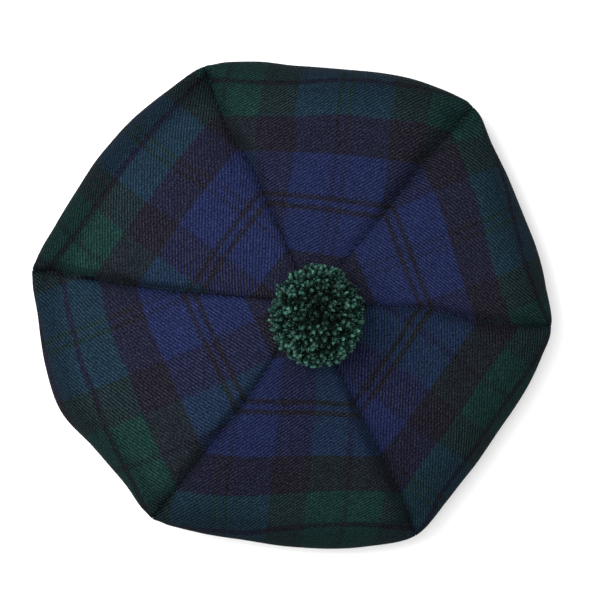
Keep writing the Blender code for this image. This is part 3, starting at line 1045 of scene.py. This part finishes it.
def straight_stitch(given):
    """A stitch along x that stands up in its middle and dips into the cloth at its ends."""
    half = given["Length"] * 0.5
    ends = {"Start": vector_of(X=0.0 - half), "End": vector_of(X=half)}
    line = Socket.add("GeometryNodeCurvePrimitiveLine", ends)
    x, _ = x_and_y(position())
    lift = given["Rise"] * (1.0 - 2.0 * (x / half) ** 2.0)
    return pushed(divided(line, 6), vector_of(Z=lift))


stitch_rows = []
for side in (1.0, -1.0):
    for x, z in (
        (SLOT / 2 + BAND_CLOTH, BAND_HEIGHT - TOP_STITCHES_BELOW_EDGE),
        (LAYER_GAP / 2 + BAND_CLOTH, FOOT_STITCHES_Z),
    ):
        row = [
            (band_point(band_line, k, side * x, z), outward * side)
            for k, (_, outward) in enumerate(band_line)
        ]
        stitch_rows.append((row, True))
stitch_sizes = {"Length": STITCH_LENGTH, "Rise": STITCH_RISE}
stitches = sew("headband_stitches", stitch_rows, STITCH_PITCH, stitch_sizes, straight_stitch)
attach(stitches, "root")


# ------------------------------------------------------------
# The pompom: a ball of thick dark green wool yarn, tied in the middle, cut and trimmed round. Its
# tie goes down through the apex and is knotted inside the crown.

POMPOM_MIDDLE = APEX + Vector((4.0 * MM, -7.0 * MM, 18.3 * MM))
POMPOM_HALF_SIZES = Vector((24.6 * MM, 26.6 * MM, 24.0 * MM))
POMPOM_LUMPS, POMPOM_LUMP_DEPTH = 2.3, 0.035
POMPOM_OVER_APEX = 1.8 * MM
CORE_SHARE = 0.78
CORE_OVER_APEX = 0.4 * MM
BALL_SUBDIVISIONS = 4
PARTING = POMPOM_MIDDLE + Vector((0.5 * MM, 3.0 * MM, 0.0))
PARTING_REACH = 17.0 * MM
PARTING_DEPTH = 2.6 * MM
MOST_ENDS = 900000.0
TIP_STARTS, TIP_SHARE, TIP_NARROWS = 0.78, 0.22, 0.42
YARN_TWIST = 3.4
DRIFTS, FRAYS = 190.0, 1100.0
FRAYED_SHARE = 1.6
KNOT_Z = 44.7 * MM
KNOT_SCALE = 2.1 * MM
KNOT_DEPTH = 0.9 * MM
KNOT_STEPS = 72
TIE_STRAND_OUT = 1.5 * MM
TIE_LENGTH = 14.0 * MM
TIE_TURNS = 0.9
TIE_STEPS = 24
TIE_END_STEPS = 14

# The thick cut ends of the yarn, and thin plies that have come loose between them.
YARN_SIZES = ("Spacing", "Radius", "Length", "Lean", "Unruly", "Sunk", "Steps", "Sides", "Seed")
YARN = {
    "pompom_yarn_ends": (
        2.5 * MM, 1.35 * MM, 12.0 * MM, 0.36, 9.0 * MM, 4.0 * MM, 6, 8, 11,
    ),
    "pompom_loose_plies": (
        1.6 * MM, 0.30 * MM, 6.0 * MM, 0.9, 7.0 * MM, 2.6 * MM, 6, 5, 23,
    ),
}


scaled = node("ShaderNodeVectorMath", 0, "Scale", operation="SCALE")
minus = node("ShaderNodeVectorMath", 0, 1, operation="SUBTRACT")
tilted = node("GeometryNodeSetCurveTilt", 0, "Tilt")


def drift(scale, reach):
    """A push this way and that, which changes scale times to the metre."""
    values = {"Vector": position(), "Scale": scale, "Detail": 1.0}
    patches = Socket.add("ShaderNodeTexNoise", values, "Color")
    return scaled(minus(patches, (0.5, 0.5, 0.5)), reach)


def marked(shape, name, value, domain="POINT"):
    """A shape that carries a value under this name."""
    values = {0: shape, "Name": name, "Value": value}
    return Socket.add("GeometryNodeStoreNamedAttribute", values, domain=domain)


def plied_section(radius, sides):
    """The outline of a yarn of three plies."""
    x, y = x_and_y(position())
    lobes = 0.93 + 0.13 * (Socket.math("ARCTAN2", y, x) * 3.0).cosine()
    return moved_to(circle(sides, radius), scaled(position(), lobes))


def pompom_tree(inputs):
    """Cut ends of yarn that stand out of a ball, bent a little, no two alike."""
    given = new_tree("cut_yarn", "Ball", inputs, "Yarn ends")
    radius, lean, seed = given["Radius"], given["Lean"], given["Seed"]
    random = [chance(-1.0, 1.0, seed + 3 + k) for k in range(4)]

    # where each end stands: somewhere on the ball, sunk a little or not, and leaning
    spread = "GeometryNodeDistributePointsOnFaces"
    values = {"Mesh": given, "Distance Min": given["Spacing"], "Density Max": MOST_ENDS}
    ends = Socket.add(spread, {**values, "Seed": seed}, distribute_method="POISSON")
    drop = (random[3] * 0.5 + 0.5) ** 2.0 * given["Sunk"]
    sunk = pushed(ends, scaled(ends["Normal"], 0.0 - drop))
    tilt = vector_of(X=random[0] * lean, Y=random[1] * lean, Z=random[2] * math.pi)
    tilt = Socket.add("FunctionNodeEulerToRotation", {0: tilt})
    values = {0: ends["Rotation"], 1: tilt}
    turned = Socket.add("FunctionNodeRotateRotation", values, rotation_space="LOCAL")

    # the line that it follows inwards, with its own tone, bent more the further out
    values = {"Direction": (0.0, 0.0, -1.0), "Length": given["Length"]}
    line = Socket.add("GeometryNodeCurvePrimitiveLine", values, mode="DIRECTION")
    strand = divided(line, given["Steps"])
    laid = laid_out(sunk, strand, turned, chance(0.86, 1.12, seed + 1))
    loose = made_real(marked(laid, "tone", chance(0.0, 1.0, seed + 2), "INSTANCE"))
    outward = 1.0 - Socket.add("GeometryNodeSplineParameter")
    bent = pushed(loose, drift(DRIFTS, outward * given["Unruly"]))

    # the yarn itself: three plies, twisted, narrower and frayed at its tip
    tipped = marked(bent, "tip", outward)
    taper = 1.0 - TIP_NARROWS * (outward - TIP_STARTS).most(0.0) / TIP_SHARE
    sized = Socket.add("GeometryNodeSetCurveRadius", {0: tipped, "Radius": taper})
    section = plied_section(radius, given["Sides"])
    tubes = tube(tilted(sized, outward * YARN_TWIST), section, True, taper)
    tip = Socket.add("GeometryNodeInputNamedAttribute", {"Name": "tip"}, "Attribute")
    ragged = pushed(tubes, drift(FRAYS, tip ** 3.0 * radius * FRAYED_SHARE))
    return end_tree(ragged, given["Yarn"])


def cord_tree():
    """Yarn laid along a path, its plies twisted round each other."""
    inputs = {"Radius": 1.2 * MM, "Twist": 700.0, "Yarn": None}
    given = new_tree("plied_cord", "Path", inputs, "Cord")
    run = Socket.add("GeometryNodeSplineParameter", out="Length")
    twisted = tilted(curve_of(given), run * given["Twist"])
    cord = tube(twisted, plied_section(given["Radius"], 12), True)
    for name, value in (("tip", 0.93), ("tone", 0.5)):
        cord = marked(cord, name, value)
    return end_tree(cord, given["Yarn"])


def knot_paths():
    """The tie's three strands, the knot round them under the apex, and the knot's two ends."""
    below = Vector((APEX.x, APEX.y, KNOT_Z))
    ring = []
    for k in range(KNOT_STEPS):
        t = math.tau * k / KNOT_STEPS
        x = math.sin(t) + 2.0 * math.sin(2.0 * t)
        y = math.cos(t) - 2.0 * math.cos(2.0 * t)
        spot = Vector((x * KNOT_SCALE, y * KNOT_SCALE, -KNOT_DEPTH * math.sin(3.0 * t)))
        ring.append((below + spot, UP))
    paths = [(ring, True)]
    for strand in range(3):
        line = []
        for k in range(TIE_STEPS + 1):
            aside = level(math.tau * (strand / 3 + TIE_TURNS * k / TIE_STEPS)) * TIE_STRAND_OUT
            line.append((below + aside + UP * (TIE_LENGTH * k / TIE_STEPS), UP))
        paths.append((line, False))
    for bearing, length in ((0.7, 13.0), (3.5, 10.0)):
        out = level(bearing)
        line = []
        for k in range(TIE_END_STEPS + 1):
            t = k / TIE_END_STEPS
            reach = (3.0 + length * t) * MM
            wave = 1.3 * MM * math.sin(4.0 * t)
            line.append((below + out * reach + left_of(out) * wave - UP * (3.4 * MM * t * t), UP))
        paths.append((line, False))
    return paths


def spin_yarn(name):
    """Dark green wool yarn. Painted shade makes it near black between the cut ends and darker where
    it parts; its cut tips are paler, partly frayed fibre and partly painted highlight.
    """
    finish = new_finish(name)
    place = Socket.add("ShaderNodeTexCoord", out="Object")
    fibre = mottle(place, 1800.0)
    patch = mottle(place, 90.0)
    shaded_roots_to_lit_tips = (
        (0.0, (0.0006, 0.0022, 0.0020)),
        (0.55, (0.0005, 0.0030, 0.0025)),
        (0.86, (0.0012, 0.0082, 0.0062)),
        (1.0, (0.0285, 0.0780, 0.0600)),
    )
    green = Socket.add("ShaderNodeValToRGB", {0: carried("tip")}, stops=shaded_roots_to_lit_tips)
    # painted shade, darker where the yarn parts at the top of the pompom
    x, y = x_and_y(place)
    aside = (x - PARTING[0]) ** 2.0 + (y - PARTING[1]) ** 2.0
    out_of_parting_shade = (aside / PARTING_REACH ** 2).least(1.0)
    light = 0.15 + 1.1 * carried("tone") ** 2.0 + 0.8 * fibre + 2.0 * (patch - 0.5)
    light = (light * (0.42 + 0.68 * out_of_parting_shade)).most(0.06)
    set_finish({
        "Base Color": lit(green, light),
        "Roughness": 0.8 + 0.15 * fibre,
        "Normal": relief(fibre, 0.6, 0.3 * MM),
        "Sheen Weight": 0.04,
        "Sheen Roughness": 0.4,
        "Sheen Tint": (0.3, 0.7, 0.55, 1.0),
        "Specular IOR Level": 0.05,
    })
    return finish


def ball(half_sizes, floor_z, finish=None):
    """A lumpy ball that is a little hollow where the yarn parts, and flat over the crown."""
    bm = bmesh.new()
    bmesh.ops.create_icosphere(bm, subdivisions=BALL_SUBDIVISIONS, radius=1.0)
    for vert in bm.verts:
        lumps = noise.noise(vert.co * POMPOM_LUMPS + Vector((5.0, 1.0, 2.0)))
        lump = 1.0 + POMPOM_LUMP_DEPTH * lumps
        vert.co = POMPOM_MIDDLE + Vector(c * h * lump for c, h in zip(vert.co, half_sizes))
        aside = (vert.co - PARTING).xy.length / PARTING_REACH
        if vert.co.z > POMPOM_MIDDLE.z:
            vert.co.z -= PARTING_DEPTH * math.exp(-3.0 * aside * aside)
        vert.co.z = max(vert.co.z, floor_z)
    return end_mesh(bm, "ball", finish)


yarn = spin_yarn("pompom_yarn_finish")
surface = ball(POMPOM_HALF_SIZES, APEX.z + POMPOM_OVER_APEX)
kinds = {name: dict(zip(YARN_SIZES, sizes)) for name, sizes in YARN.items()}
cut_yarn = pompom_tree({**kinds["pompom_yarn_ends"], "Yarn": None})
grown = [
    grow(name, surface.copy(), cut_yarn, {**sizes, "Yarn": yarn}) for name, sizes in kinds.items()
]
knot = path_mesh("knot_paths", knot_paths())
grown.append(grow("pompom_knot", knot, cord_tree(), {"Yarn": yarn}))
for mesh in grown:
    pompom = set_out(mesh.name, mesh)
    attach(pompom, "root")
    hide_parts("pompom")

# The core carries no tip value, so it takes the yarn's near-black root colour: painted shade inside
# the pompom.
core_mesh = ball(POMPOM_HALF_SIZES * CORE_SHARE, APEX.z + CORE_OVER_APEX, yarn)
core = set_out("pompom_core", core_mesh)
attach(core, "root")
